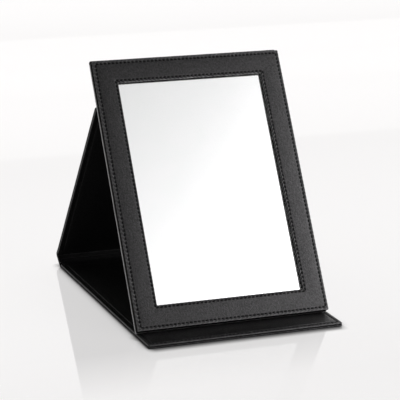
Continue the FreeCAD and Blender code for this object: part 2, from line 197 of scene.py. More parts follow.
# ------------------------------------------------------------------ materials
def leather(name, dark, light, roughness, grain=0.0010, depth=0.00012, specular=0.33,
            wear_and_highlight_gain=1.0):
    """Pebbled leatherette, mottled in colour and gloss. Three mesh attributes steer it:
    'wear' greys and polishes for rubbing and lightens ridges as painted highlight,
    'groove' darkens and dulls as painted shade in hollows, 'inner' is painted shade
    that dims what is shaded.
    grain is the size of a pebble and depth its height, in metres."""
    material, s = start_material(name)
    where = s.coords()
    bent = s.warped(where, scale=1.0 / (grain * 2.5), amount=grain * 0.8)
    pebble = s.remap(s.cells(bent, scale=1.0 / grain), over=(0.0, 0.30))
    small = s.remap(s.cells(bent, scale=2.6 / grain), over=(0.0, 0.3))
    fine = s.noise(where, scale=4.5 / grain, roughness=0.6)
    lumps = s.noise(where, scale=0.62 / grain, detail=2.0)
    folds = s.noise(where, scale=55.0, detail=4.0, roughness=0.55, distortion=0.4)
    mottle = s.noise(where, scale=18.0)
    wear_and_highlight = s.attribute("wear_and_highlight")
    groove = s.attribute("groove")
    inner = s.attribute("inner")

    # masks: lit share (the rest is painted shade), patchy rubbing and highlight, and
    # painted shade in hollows under stitches and in creases between pebbles
    lit = s.subtract(1.0, s.multiply(inner, 0.72, clamp=True))
    scuff = s.remap(s.noise(where, scale=240.0, detail=4.0, roughness=0.65),
                    over=(0.36, 0.66), to=(0.45, 1.0))
    worn_and_highlit = s.multiply(s.multiply(wear_and_highlight, scuff), s.multiply(lit, wear_and_highlight_gain), clamp=True)
    hollow = s.multiply(groove, 1.0, clamp=True)
    crease = s.subtract(1.0, pebble)
    # wear above 1 marks the ridges that get a painted highlight of pale grey
    painted_highlight = s.multiply(
        s.subtract(wear_and_highlight, 1.0, clamp=True),
        s.multiply(s.remap(scuff, over=(0.45, 1.0), to=(0.8, 1.5)), wear_and_highlight_gain), clamp=True)

    # colour: the share each mask takes, and the colour it brings
    colour = s.mix(s.remap(mottle, over=(0.35, 0.65)), dark, light)
    # painted shade in the creases between pebbles
    colour = s.mix(s.multiply(crease, 0.6), colour, scaled(dark, 0.3))
    # lighter where rubbed, and on ridges as painted highlight
    colour = s.mix(s.multiply(worn_and_highlit, 0.8), colour, tuple(3.0 * v + 0.040 for v in light))
    # pale grey painted highlight on the brightest ridges
    colour = s.mix(painted_highlight, colour, (0.30, 0.298, 0.303))
    # painted shade in hollows, seams and other shaded bands
    colour = s.mix(s.multiply(hollow, 0.85), colour, scaled(dark, 0.2))
    # painted shade: the lit share dims the colour
    dimmed = s.node("VectorMath", {0: colour, "Scale": lit}, operation="SCALE").outputs[0]

    # roughness: wear polishes by 0.10, creases add 0.14 and hollows 0.30
    rough = s.remap(folds, over=(0.3, 0.7), to=(roughness - 0.03, roughness + 0.03))
    rough = s.subtract(rough, s.multiply(worn_and_highlit, 0.10))
    rough = s.add(rough, s.multiply(crease, 0.14))
    rough = s.add(rough, s.multiply(hollow, 0.30), clamp=True)

    # specular: hollows lose 0.80 of it as painted shade, full wear doubles it, partly as
    # painted highlight, and the lit share dims it as painted shade
    shine = s.remap(lumps, over=(0.30, 0.70), to=(specular * 0.70, specular * 1.22))
    shine = s.multiply(shine, s.subtract(1.0, s.multiply(hollow, 0.80)))
    shine = s.multiply(shine, s.add(1.0, s.multiply(worn_and_highlit, 1.0)))
    shine = s.multiply(shine, lit)

    # height: mostly the pebbles, a quarter each from small cells and fine noise
    height = s.add(s.multiply(pebble, 0.8), s.multiply(small, 0.25))
    height = s.add(height, s.multiply(fine, 0.25))
    normal = s.bump(folds, strength=0.35, distance=0.00035)
    normal = s.bump(lumps, strength=0.85, distance=0.00026, normal=normal)
    normal = s.bump(height, strength=0.8, distance=depth, normal=normal)
    s.finish("BsdfPrincipled", {"Base Color": dimmed, "Roughness": rough,
                                "Specular IOR Level": shine, "Normal": normal})
    return material


def thread_material():
    """Twisted dark thread: strands run round it on the slant."""
    material, s = start_material("thread")
    strand = s.node("TexWave", {"Scale": 2.2, "Distortion": 0.6, "Detail": 2.0,
                                "Vector": s.coords("UV")},
                    wave_type="BANDS", bands_direction="DIAGONAL").outputs["Fac"]
    fuzz = s.noise(s.coords(), scale=5200.0, roughness=0.6)
    colour = s.mix(strand, (0.0008, 0.0008, 0.0009), (0.0024, 0.0024, 0.0026))
    colour = s.mix(s.multiply(fuzz, 0.3), colour, (0.0045, 0.0045, 0.0047))
    normal = s.bump(strand, strength=0.8, distance=0.00008)
    s.finish("BsdfPrincipled", {
        "Base Color": colour,
        "Roughness": s.remap(strand, over=(0, 1), to=(0.75, 0.5)),
        "Specular IOR Level": 0.06,
        "Sheen Weight": 0.015,
        "Sheen Roughness": 0.4,
        "Normal": s.bump(fuzz, strength=0.3, distance=0.00003, normal=normal)})
    return material


def card_material(name, dark, light):
    """Grey fibre board with dark flecks."""
    material, s = start_material(name)
    where = s.coords()
    fleck = s.noise(where, scale=1400.0, detail=5.0, roughness=0.7)
    fibre = s.noise(s.warped(where, scale=300.0, amount=0.002), scale=600.0, detail=4.0,
                    roughness=0.6, distortion=1.2)
    colour = s.mix(s.remap(fibre, over=(0.35, 0.65)), dark, light)
    colour = s.mix(s.remap(fleck, over=(0.60, 0.72), to=(0, 0.6)), colour,
                   scaled(dark, 0.45))
    s.finish("BsdfPrincipled", {
        "Base Color": colour,
        "Roughness": s.remap(fleck, over=(0.3, 0.7), to=(0.85, 0.98)),
        "Normal": s.bump(fibre, strength=0.5, distance=0.00015)})
    return material


def tape_material():
    """Off-white foam tape."""
    material, s = start_material("tape")
    where = s.coords()
    foam = s.cells(where, scale=2600.0, feature="F1")
    s.finish("BsdfPrincipled", {
        "Base Color": s.mix(s.remap(foam, over=(0.1, 0.6)),
                            (0.70, 0.69, 0.64), (0.84, 0.83, 0.79)),
        "Roughness": s.remap(s.noise(where, scale=900.0), over=(0.3, 0.7), to=(0.6, 0.8)),
        "Normal": s.bump(foam, strength=0.4, distance=0.0001)})
    return material


def metal_material(name, colour, roughness):
    """Metal brushed along x, with duller spots."""
    material, s = start_material(name)
    where = s.coords()
    stretched = s.node("Mapping", {"Scale": (60.0, 2600.0, 2600.0), "Vector": where})
    brushed = s.noise(stretched.outputs[0], scale=1.0, detail=4.0, roughness=0.6)
    spots = s.noise(where, scale=420.0, detail=4.0, roughness=0.6)
    s.finish("BsdfPrincipled", {
        "Base Color": s.mix(s.remap(spots, over=(0.45, 0.7), to=(0, 0.6)), colour,
                            scaled(colour, 0.62)),
        "Metallic": 1.0,
        "Roughness": s.remap(brushed, over=(0.3, 0.7),
                             to=(roughness - 0.08, roughness + 0.1)),
        "Normal": s.bump(brushed, strength=0.25, distance=0.00004)})
    return material


def glass_material():
    """Clear float glass with a trace of green, very faintly smeared."""
    material, s = start_material("float_glass")
    smear = s.noise(s.coords(), scale=30.0, detail=5.0, roughness=0.7, distortion=0.8)
    s.finish("BsdfPrincipled", {
        "Base Color": s.mix(s.remap(smear, over=(0.4, 0.6)),
                            (0.990, 0.995, 0.992), (0.996, 0.998, 0.997)),
        "Transmission Weight": 1.0,
        "IOR": 1.5,
        "Roughness": s.remap(smear, over=(0.55, 0.8), to=(0.0, 0.02))})
    return material


def silver_material():
    """The silvering behind the glass."""
    material, s = start_material("silvering")
    cloud = s.noise(s.coords(), scale=12.0, detail=4.0, roughness=0.6)
    s.finish("BsdfPrincipled", {
        "Base Color": s.mix(cloud, (0.965, 0.966, 0.966), (0.985, 0.985, 0.985)),
        "Metallic": 1.0,
        "Roughness": s.remap(cloud, over=(0.3, 0.8), to=(0.0, 0.015))})
    return material


LEATHER = leather("leatherette", dark=(0.0034, 0.0033, 0.0035),
                  light=(0.0058, 0.0056, 0.0060), roughness=0.46)
# linings: the cover's leatherette made near black, as painted shade on the shaded inside and
# the ledge
LINING_WITH_PAINTED_SHADE = leather("lining_leatherette_painted_shade", dark=(0.0008, 0.0008, 0.0009),
                 light=(0.0015, 0.0014, 0.0016), roughness=0.55,
                 grain=0.0009, depth=0.00005, specular=0.09, wear_and_highlight_gain=0.25)
BASE_LINING_WITH_PAINTED_SHADE = leather("base_lining_leatherette_painted_shade", dark=(0.0008, 0.0008, 0.0009),
                      light=(0.0016, 0.0015, 0.0017), roughness=0.41,
                      depth=0.00008, specular=0.50, wear_and_highlight_gain=0.35)
THREAD = thread_material()
CARD = card_material("greyboard", dark=(0.24, 0.23, 0.21), light=(0.38, 0.36, 0.33))
TAPE = tape_material()
MAGNET = metal_material("nickel_plate", colour=(0.66, 0.64, 0.60), roughness=0.25)
STEEL = metal_material("steel_plate", colour=(0.50, 0.50, 0.51), roughness=0.38)
GLASS = glass_material()
SILVER = silver_material()


# ------------------------------------------------------------------ curves and noise
def clamp01(value):
    return np.clip(value, 0, 1)


def rise(value, start, over):
    """0 up to start, then straight up to 1 over the given distance."""
    return clamp01((value - start) / over)


def ease(value, start, end):
    """Smooth rise from 0 at start to 1 at end."""
    t = clamp01((np.asarray(value, float) - start) / (end - start))
    return t * t * (3 - 2 * t)


def bell(offset, width, power=2):
    """1 at no offset, falling off beyond the width; a higher power is squarer."""
    return np.exp(-(offset / width) ** power)


def cosine(turns):
    return np.cos(2 * np.pi * turns)


def hash_noise(i, seed):
    value = np.sin(i * 12.9898 + seed * 78.233) * 43758.5453
    return value - np.floor(value)


def smooth_noise(x, seed):
    """One-dimensional value noise in -1..1, repeatable."""
    i = np.floor(x)
    t = x - i
    t = t * t * (3 - 2 * t)
    return (hash_noise(i, seed) * (1 - t) + hash_noise(i + 1, seed) * t) * 2 - 1


def unit(vectors):
    return vectors / np.maximum(np.linalg.norm(vectors, axis=1, keepdims=True), 1e-9)


def turned(vectors):
    """Plane vectors turned a quarter anticlockwise."""
    return np.stack([-vectors[:, 1], vectors[:, 0]], -1)


# ------------------------------------------------------------------ mesh helpers
def to_world(points, place):
    """A piece's own millimetres to the frame's metres."""
    points = np.asarray(points, float).reshape(-1, 3)
    return (points @ np.array(place.to_3x3()).T + np.array(place.translation)) * MM


def make_object(name, verts, faces, material, attributes=None, uv=None, closed=True):
    """A smooth mesh object; a closed one has its normals turned outwards."""
    mesh = bpy.data.meshes.new(name)
    mesh.from_pydata([tuple(v) for v in verts], [], [tuple(f) for f in faces])
    mesh.validate()
    mesh.polygons.foreach_set("use_smooth", [True] * len(mesh.polygons))
    for key, values in (attributes or {}).items():
        attribute = mesh.attributes.new(key, "FLOAT", "POINT")
        attribute.data.foreach_set("value", np.asarray(values, np.float32))
    if uv is not None:
        layer = mesh.uv_layers.new(name="UVMap")
        loops = np.zeros(len(mesh.loops), np.int32)
        mesh.loops.foreach_get("vertex_index", loops)
        layer.data.foreach_set("uv", np.asarray(uv, np.float32)[loops].ravel())
    mesh.materials.append(material)
    piece = bpy.data.objects.new(name, mesh)
    scene.collection.objects.link(piece)
    if closed:
        work = bmesh.new()
        work.from_mesh(mesh)
        bmesh.ops.recalc_face_normals(work, faces=work.faces)
        work.to_mesh(mesh)
        work.free()
    mesh.update()
    return piece


def tube_faces(rings, count, closed=False):
    """Quads between rings of count points; lids at both ends unless the tube is closed."""
    faces = []
    for k in range(rings if closed else rings - 1):
        here, there = k * count, (k + 1) % rings * count
        faces += [(here + j, here + (j + 1) % count, there + (j + 1) % count, there + j)
                  for j in range(count)]
    if not closed:
        faces.append(tuple(range(count - 1, -1, -1)))
        faces.append(tuple((rings - 1) * count + j for j in range(count)))
    return faces


class Rect:
    """A rounded rectangle that can be inset. Points run anticlockwise, the same number
    for every inset. Sides are numbered 0 at y0, 1 at x1, 2 at y1 and 3 at x0."""

    def __init__(self, x0, x1, y0, y1, radius, step, arc=7, keep_radius=0.6):
        self.limits = (x0, x1, y0, y1)
        self.radius, self.arc, self.keep_radius = radius, arc, keep_radius
        self.across = max(4, int(round((x1 - x0) / step)))
        self.up = max(4, int(round((y1 - y0) / step)))
        self.count = 2 * (self.across + self.up) + 4 * arc

    def bounds(self, inset):
        x0, x1, y0, y1 = self.limits
        return x0 + inset, x1 - inset, y0 + inset, y1 - inset

    def ring(self, inset):
        """The inset outline's points and the side each belongs to."""
        x0, x1, y0, y1 = self.bounds(inset)
        r = min(max(self.radius - inset, self.keep_radius), 0.49 * (x1 - x0),
                0.49 * (y1 - y0))
        # straight run's start and end, its segments, then the next corner's centre
        runs = [((x0 + r, y0), (x1 - r, y0), self.across, (x1 - r, y0 + r)),
                ((x1, y0 + r), (x1, y1 - r), self.up, (x1 - r, y1 - r)),
                ((x1 - r, y1), (x0 + r, y1), self.across, (x0 + r, y1 - r)),
                ((x0, y1 - r), (x0, y0 + r), self.up, (x0 + r, y0 + r))]
        points, side = [], []
        for k, (start, end, count, centre) in enumerate(runs):
            t = np.linspace(0, 1, count, endpoint=False)
            points.append(np.stack([start[0] + (end[0] - start[0]) * t,
                                    start[1] + (end[1] - start[1]) * t], -1))
            angle = np.radians(90.0 * (k - 1) + np.linspace(0, 90, self.arc, endpoint=False))
            points.append(np.stack([centre[0] + r * np.cos(angle),
                                    centre[1] + r * np.sin(angle)], -1))
            near = self.arc // 2 + 1
            side += [k] * (count + near) + [(k + 1) % 4] * (self.arc - near)
        return np.concatenate(points), np.array(side)

    def along(self, ring, side, line):
        """Distance along the row of stitches inset by line, and that side's length."""
        x0, x1, y0, y1 = self.bounds(line)
        x, y = ring[:, 0], ring[:, 1]
        distance = np.choose(side, [x - x0, y - y0, x1 - x, y1 - y])
        return distance, np.where(side % 2 == 0, x1 - x0, y1 - y0)

    def stitch_phase(self, ring, side, line):
        """Position counted in stitches, and whether it is between the row's ends."""
        distance, length = self.along(ring, side, line)
        number = np.maximum(1, np.round(length / PITCH))
        return distance / (length / number), (distance > 0.0) & (distance < length)


def cover_rect(y0, y1, radius, step, **options):
    return Rect(-COVER_W / 2, COVER_W / 2, y0, y1, radius, step, **options)


def panel_rect(radius, step, **options):
    return Rect(-PANEL_W / 2, PANEL_W / 2, 0, PANEL_H, radius, step, **options)


class Section:
    """A cross-section of (inset, height) points, each with its wear: rubbing plus painted
    highlight.
    """

    def __init__(self):
        self.points, self.wear_and_highlight = [], []

    def add(self, points, wear_and_highlight=0.0):
        self.points += points
        self.wear_and_highlight += [wear_and_highlight] * len(points)

    def line(self, start, end, count, wear_and_highlight=0.0, last=False):
        """count points from start; the end itself only if last."""
        self.add([(start[0] + (end[0] - start[0]) * t, start[1] + (end[1] - start[1]) * t)
                  for t in np.linspace(0, 1, count, endpoint=last)], wear_and_highlight)

    def arc(self, centre, radius, start, end, count, wear_and_highlight=0.0):
        """count points from one angle to another, in degrees."""
        self.add([(centre[0] + radius * math.cos(a), centre[1] + radius * math.sin(a))
                  for a in (math.radians(v) for v in np.linspace(start, end, count))], wear_and_highlight)


def stitch_relief(rect, ring, side, inset, line, depth, channel, toward, ridge, reach,
                  slant=0.16, crest=0.35, shade=0.0):
    """Rows of swell, hollow and rubbed for a face beside stitches inset by line: hollow is
    painted shade, rubbed is rubbing with painted highlight. channel and depth sink the row
    and its dimples. Puckers of height ridge run from the row as far as reach, to the outer
    edge (toward -1) or the inner one (+1), leaning by slant; crest is the rubbing and
    painted highlight on them and shade the painted shade between."""
    phase, inside = rect.stitch_phase(ring, side, line)
    number = np.floor(phase)
    vary = 0.85 + 0.3 * hash_noise(number + side * 517.0, 3.0)
    dimple = bell(phase - number - 0.5, 0.33, power=6) * vary * inside
    offset = inset - line
    beyond = offset * toward
    window = clamp01(beyond / 0.5) * clamp01((reach - beyond) / 0.9)
    pucker = cosine(phase - 0.5 + slant * beyond * 2.0)
    lift = window * vary * pucker * np.where(inside, 1.0, 0.3)
    swell = -channel * bell(offset, 0.85) - depth * bell(offset, 0.52) * dimple + ridge * lift
    # painted shade in the stitch dimples and between the puckers
    hollow = bell(offset, 0.78, power=4) * (0.06 + 1.1 * dimple) + shade * clamp01(-lift)
    # rubbed between stitches, on both lips of the channel and on the puckers, as rubbing with
    # painted highlight
    rubbed_and_highlit = (0.40 * bell(offset, 0.6) * clamp01(1 - dimple)
              + 0.10 * bell(abs(offset) - 0.95, 0.35) + crest * clamp01(lift))
    return np.array([swell, hollow, rubbed_and_highlit])


def sweep(name, rect, section, place, material, relief=None, cap=True, inner=None):
    """Carries a section round a rounded rectangle: lids at both ends if cap, else a
    closed tube. relief(ring, side, inset, height) gives rows of swell, hollow (painted
    shade) and rubbed (rubbing with painted highlight)."""
    points = np.array(section.points, float)
    ahead = np.roll(points, -1, 0) - points
    behind = points - np.roll(points, 1, 0)
    if cap:
        ahead[-1] = behind[-1]
        behind[0] = ahead[0]
    normals = turned(unit(unit(ahead) + unit(behind)))
    probe = 0.05                     # small inset that shows which way is inwards
    rows, wear_and_highlights, grooves = [], [], []
    for (inset, height), normal, wear_and_highlight in zip(points, normals, section.wear_and_highlight):
        ring, side = rect.ring(inset)
        swell, hollow, rubbed_and_highlit = np.zeros((3, len(ring)))
        if relief is not None:
            swell, hollow, rubbed_and_highlit = relief(ring, side, inset, height)
        inward = (rect.ring(inset + probe)[0] - ring) / probe
        rows.append(np.column_stack([ring + inward * (normal[0] * swell)[:, None],
                                     height + normal[1] * swell]))
        wear_and_highlights.append(np.clip(wear_and_highlight + rubbed_and_highlit, 0, max(1.0, wear_and_highlight)))
        grooves.append(clamp01(hollow))
    verts = np.concatenate(rows)
    attributes = {"wear_and_highlight": np.concatenate(wear_and_highlights), "groove": np.concatenate(grooves)}
    if inner is not None:
        attributes["inner"] = inner(verts)
    faces = tube_faces(len(points), rect.count, closed=not cap)
    return make_object(name, to_world(verts, place), faces, material, attributes)


def stitches(name, rect, line, height, part, outward=1.0, replaces=None):
    """A row of separate threads, each out of one needle hole and down the next.
    outward is the sign of the face's direction in z."""
    radius, hole_gap = 0.33, 0.50
    around, lengthwise = 8, 9        # points round a thread, and rings along it
    x0, x1, y0, y1 = rect.bounds(line)
    corners = np.array([(x0, y0), (x1, y0), (x1, y1), (x0, y1)])
    one_thread = tube_faces(lengthwise, around)
    verts, faces, uvs = [], [], []
    for k in range(4):
        start, end = corners[k], corners[(k + 1) % 4]
        length = np.linalg.norm(end - start)
        along = (end - start) / length
        across = np.array([-along[1], along[0]])
        number = int(max(1, round(length / PITCH)))
        pitch = length / number
        for i in range(number):
            skew = (hash_noise(i + 517.0 * k, 7.0) - 0.5) * 0.16
            first, last = i * pitch + hole_gap, (i + 1) * pitch - hole_gap
            base = len(verts)
            for t in np.linspace(0, 1, lengthwise):
                arch = math.sin(math.pi * t)
                lift = -0.42 + 0.50 * arch ** 0.6
                r = radius * (0.72 + 0.28 * arch)
                centre = (start + along * (first + (last - first) * t)
                          + across * skew * (t - 0.5) * 2)
                for angle in np.linspace(0, 2 * np.pi, around, endpoint=False):
                    x, y = centre + across * (r * math.cos(angle))
                    rounding = r * 0.8 * math.sin(angle)
                    verts.append((x, y, height + outward * (lift + rounding - 0.20)))
                    uvs.append((t, angle / (2 * math.pi)))
            faces += [tuple(base + v for v in face) for face in one_thread]
    row = make_object(name, to_world(verts, PLACES[part]), faces, THREAD, uv=uvs)
    register(row, rides=part, replaces=replaces)


# ------------------------------------------------------------------ panel, front half
PANEL = PLACES["mirror_panel"]
FRAME_RECT = panel_rect(radius=1.1, step=0.55)


def frame_section():
    """From the seam round the side, over the face to the opening, under onto the glass,
    and back along the inside of the sheet."""
    seam = -FRONT_LAYER
    s = Section()
    # seam and side, with rubbing and painted highlight on both ridges
    s.line((11.8, seam + 0.06), (2.2, seam + 0.06), 4)
    s.line((2.2, seam + 0.06), (0.95, seam + 0.08), 2)
    s.arc((0.80, seam + 0.86), 0.78, 262, 188, 7, wear_and_highlight=0.5)
    s.add([(0.10, -4.85), (0.22, -4.5)], wear_and_highlight=0.2)
    s.line((0.30, -4.1), (0.30, -2.0), 5)
    s.add([(0.22, -1.60), (0.10, -1.30)])
    s.arc((0.75, -0.75), 0.75, 176, 150, 4, wear_and_highlight=0.15)
    s.arc((0.75, -0.75), 0.75, 141, 104, 6, wear_and_highlight=1.12)
    # face
    s.line((0.85, 0.0), (1.3, -0.01), 3, wear_and_highlight=0.25)
    s.line((1.4, -0.01), (2.3, -0.02), 4)
    s.line((2.3, -0.02), (4.4, 0.03), 9)
    s.add([(5.2, 0.08), (6.4, 0.14), (8.2, 0.20), (10.2, 0.23), (12.0, 0.23),
           (14.0, 0.20), (15.9, 0.15), (17.1, 0.10)])
    s.line((17.8, 0.07), (STITCH_IN, -0.02), 7)
    s.line((STITCH_IN, -0.02), (BORDER - 1.2, 0.02), 5, wear_and_highlight=0.1)
    # edge of the opening, and under it, with a pale grey painted highlight on the edge
    s.arc((BORDER - 1.0, -0.98), 1.00, 92, 40, 6, wear_and_highlight=0.8)
    s.arc((BORDER - 1.0, -0.98), 1.00, 28, 6, 3, wear_and_highlight=1.45)
    s.line((BORDER, -1.1), (BORDER - 0.02, -1.99), 4, wear_and_highlight=1.3)
    s.line((BORDER - 0.1, -1.99), (BORDER - 4.9, -1.99), 4)
    # hidden return along the inside
    s.line((BORDER - 5.0, -1.9), (BORDER - 5.0, -0.95), 2)
    s.line((BORDER - 5.1, -0.80), (1.3, -0.80), 5)
    s.arc((1.35, -1.30), 0.5, 95, 175, 3)
    s.line((0.88, -1.5), (0.88, seam + 0.95), 3)
    s.line((1.0, seam + 0.84), (11.8, seam + 0.76), 4, last=True)
    return s


def frame_relief(ring, side, inset, height):
    rect = FRAME_RECT
    total = np.zeros((3, len(ring)))
    if height < -2.6 or (inset > 2.0 and height < -0.5):
        if inset < 0.6 and height > -FRONT_LAYER + 0.3:
            # side wall: faintly wavy, with painted shade between its two ridges and flecks of
            # painted highlight on them
            distance, _ = rect.along(ring, side, STITCH_OUT)
            phase, _ = rect.stitch_phase(ring, side, STITCH_OUT)
            band_shade = rise(height, start=-5.2, over=0.4) * rise(-height, start=1.0, over=0.4)
            total[0] = 0.05 * smooth_noise(distance / 9.0 + side * 31.0, 5.0)
            total[1] = band_shade
            total[2] = 0.2 * clamp01(cosine(phase)) * (band_shade < 0.1)
        elif inset > BORDER - 0.3 and height > -1.9:
            # wall of the opening: the puckers run over its edge; painted shade on its lower
            # part and between the puckers, painted highlight on them
            phase, inside = rect.stitch_phase(ring, side, STITCH_IN)
            wave = cosine(phase - 0.5 + 0.40 * 2.6) * np.where(inside, 1.0, 0.3)
            total[0] = 0.14 * wave * (1.9 + height) / 1.9
            total[1] = rise(-height, start=1.25, over=0.15) + 0.45 * clamp01(-wave)
            total[2] = 0.3 * clamp01(wave)
        elif inset > BORDER - 1.8 and height < -1.9:
            # turned under, onto the glass, in painted shade
            total[1] = 0.6
        return total
    if inset < 6.0:
        total += stitch_relief(rect, ring, side, inset, STITCH_OUT, depth=0.36,
                               channel=0.12, toward=-1.0, ridge=0.10, reach=3.4,
                               crest=0.30, shade=0.25)
    if inset > 15.0:
        total += stitch_relief(rect, ring, side, inset, STITCH_IN, depth=0.36,
                               channel=0.12, toward=1.0, ridge=0.17, reach=2.8,
                               slant=0.20, crest=1.0, shade=1.0)
        # short dents between the row and the opening, darkened as painted shade, with painted
        # highlight between them
        phase, inside = rect.stitch_phase(ring, side, STITCH_IN)
        offset = inset - STITCH_IN
        dents = (bell(offset - 1.40, 0.38)
                 * clamp01(1.5 * cosine(phase - 0.5 + 0.30 * offset)) * inside)
        total[0] -= 0.10 * dents
        total[1] += dents
        total[2] += -0.9 * dents + 0.5 * clamp01(1 - dents * 2) * bell(offset - 0.9, 0.3)
    if 1.5 < inset < BORDER - 1.3:
        # slow waviness of the face
        x, y = ring[:, 0], ring[:, 1]
        total[0] += (0.045 * smooth_noise(x / 13.0 + y / 29.0, 11.0)
                     + 0.035 * smooth_noise(y / 11.0 - x / 37.0, 12.0))
    return total


def side_shade(top, bottom):
    """Shading of the panel's side walls between two heights."""
    def shade(verts):
        x, y, z = verts.T
        from_edge = np.minimum(np.minimum(x + PANEL_W / 2, PANEL_W / 2 - x),
                               np.minimum(y, PANEL_H - y))
        return (0.9 * clamp01((z - bottom) / 0.35) * clamp01((top - z) / 0.35)
                * clamp01((0.75 - from_edge) / 0.3))
    return shade


frame_cover = sweep("frame_cover_leather", FRAME_RECT, frame_section(), PANEL, LEATHER,
                    frame_relief, cap=False, inner=side_shade(top=-0.85, bottom=-5.9))
register(frame_cover, rides="mirror_panel", replaces="frame_cover")
stitches("frame_outer_stitches", FRAME_RECT, STITCH_OUT, 0.0, "mirror_panel",
         replaces="outer_stitching")
stitches("frame_inner_stitches", FRAME_RECT, STITCH_IN, 0.0, "mirror_panel",
         replaces="inner_stitching")


# ------------------------------------------------------------------ glass and silvering
def flat_plate(name, inset, top, bottom, bevel, material, replaces=None):
    """A flat-shaded sheet with bevelled edges, from mid top round to mid bottom."""
    middle = 91.0
    s = Section()
    s.line((middle, top), (inset + bevel * 2.2, top), 6)
    s.add([(inset + bevel * 1.4, top), (inset + bevel, top),
           (inset + bevel * 0.3, top - bevel * 0.35), (inset, top - bevel),
           (inset, bottom + bevel), (inset + bevel * 0.3, bottom + bevel * 0.35),
           (inset + bevel, bottom), (inset + bevel * 1.4, bottom)])
    s.line((inset + bevel * 2.2, bottom), (middle, bottom), 6, last=True)
    rect = panel_rect(radius=1.6, step=6.0, arc=4, keep_radius=0.8)
    plate = sweep(name, rect, s, PANEL, material)
    for polygon in plate.data.polygons:
        polygon.use_smooth = False
    register(plate, rides="mirror_panel", replaces=replaces)
    return plate


GLASS_IN = BORDER - 6.0
glass = flat_plate("mirror_glass_plate", GLASS_IN, top=-2.05, bottom=-4.98, bevel=0.25,
                   material=GLASS, replaces="mirror_glass")
silver = flat_plate("mirror_silvering", GLASS_IN + 0.3, top=-4.99, bottom=-5.05, bevel=0.02,
                    material=SILVER)


# ------------------------------------------------------------------ panel, back half
BACK_RECT = panel_rect(radius=1.1, step=1.2)


def back_section():
    """From the middle of the back round the side to the seam, and back inside."""
    back = -PANEL_T
    s = Section()
    s.line((91.0, back), (8.0, back), 26)
    s.line((7.0, back), (1.2, back + 0.01), 5)
    s.arc((0.80, back + 0.80), 0.80, 262, 232, 4, wear_and_highlight=0.5)
    # the rear ridge: a pale grey painted highlight
    s.arc((0.80, back + 0.80), 0.80, 222, 186, 6, wear_and_highlight=1.9)
    s.add([(0.01, -9.0), (0.02, -8.5), (0.05, -8.0)], wear_and_highlight=1.9)
    s.add([(0.08, -7.75), (0.14, -7.55)], wear_and_highlight=1.8)
    s.add([(0.14, -7.45), (0.08, -7.35)])
    s.arc((0.80, -7.16), 0.76, 180, 98, 6, wear_and_highlight=0.5)
    s.line((1.05, -6.42), (2.2, -6.40), 2)
    s.line((2.3, -6.40), (11.9, -6.40), 4)
    # hidden return along the inside
    s.line((12.0, -6.46), (12.0, -7.05), 2)
    s.line((11.9, -7.10), (1.1, -7.15), 4)
    s.line((0.88, -7.3), (0.88, -8.8), 3)
    s.line((1.2, -9.2), (91.0, -9.2), 8, last=True)
    return s


def back_relief(ring, side, inset, height):
    total = np.zeros((3, len(ring)))
    hidden = (height > -6.9 or (height > -9.25 and inset > 0.85)
              or (0.5 < inset < 0.9 and height > -9.1))
    if hidden:
        return total
    if inset < 0.6:
        distance, _ = BACK_RECT.along(ring, side, 0.0)
        total[0] = 0.05 * smooth_noise(distance / 8.0 + side * 17.0, 9.0)
        total[1] = rise(height, start=-7.45, over=0.2) * rise(-height, start=6.95, over=0.2)
    # painted shade in the seam between the panel's two halves
    elif height <= -9.6:
        # the flat back: very shallow waviness, never proud
        wave = smooth_noise(ring[:, 0] / 21.0 + ring[:, 1] / 17.0, 21.0)
        total[0] = -0.03 * (1 + wave) * min(1.0, inset / 4.0)
    return total


back_cover = sweep("back_cover_leather", BACK_RECT, back_section(), PANEL, LEATHER,
                   back_relief, inner=side_shade(top=-6.9, bottom=-7.4))
register(back_cover, rides="mirror_panel", replaces="back_cover")


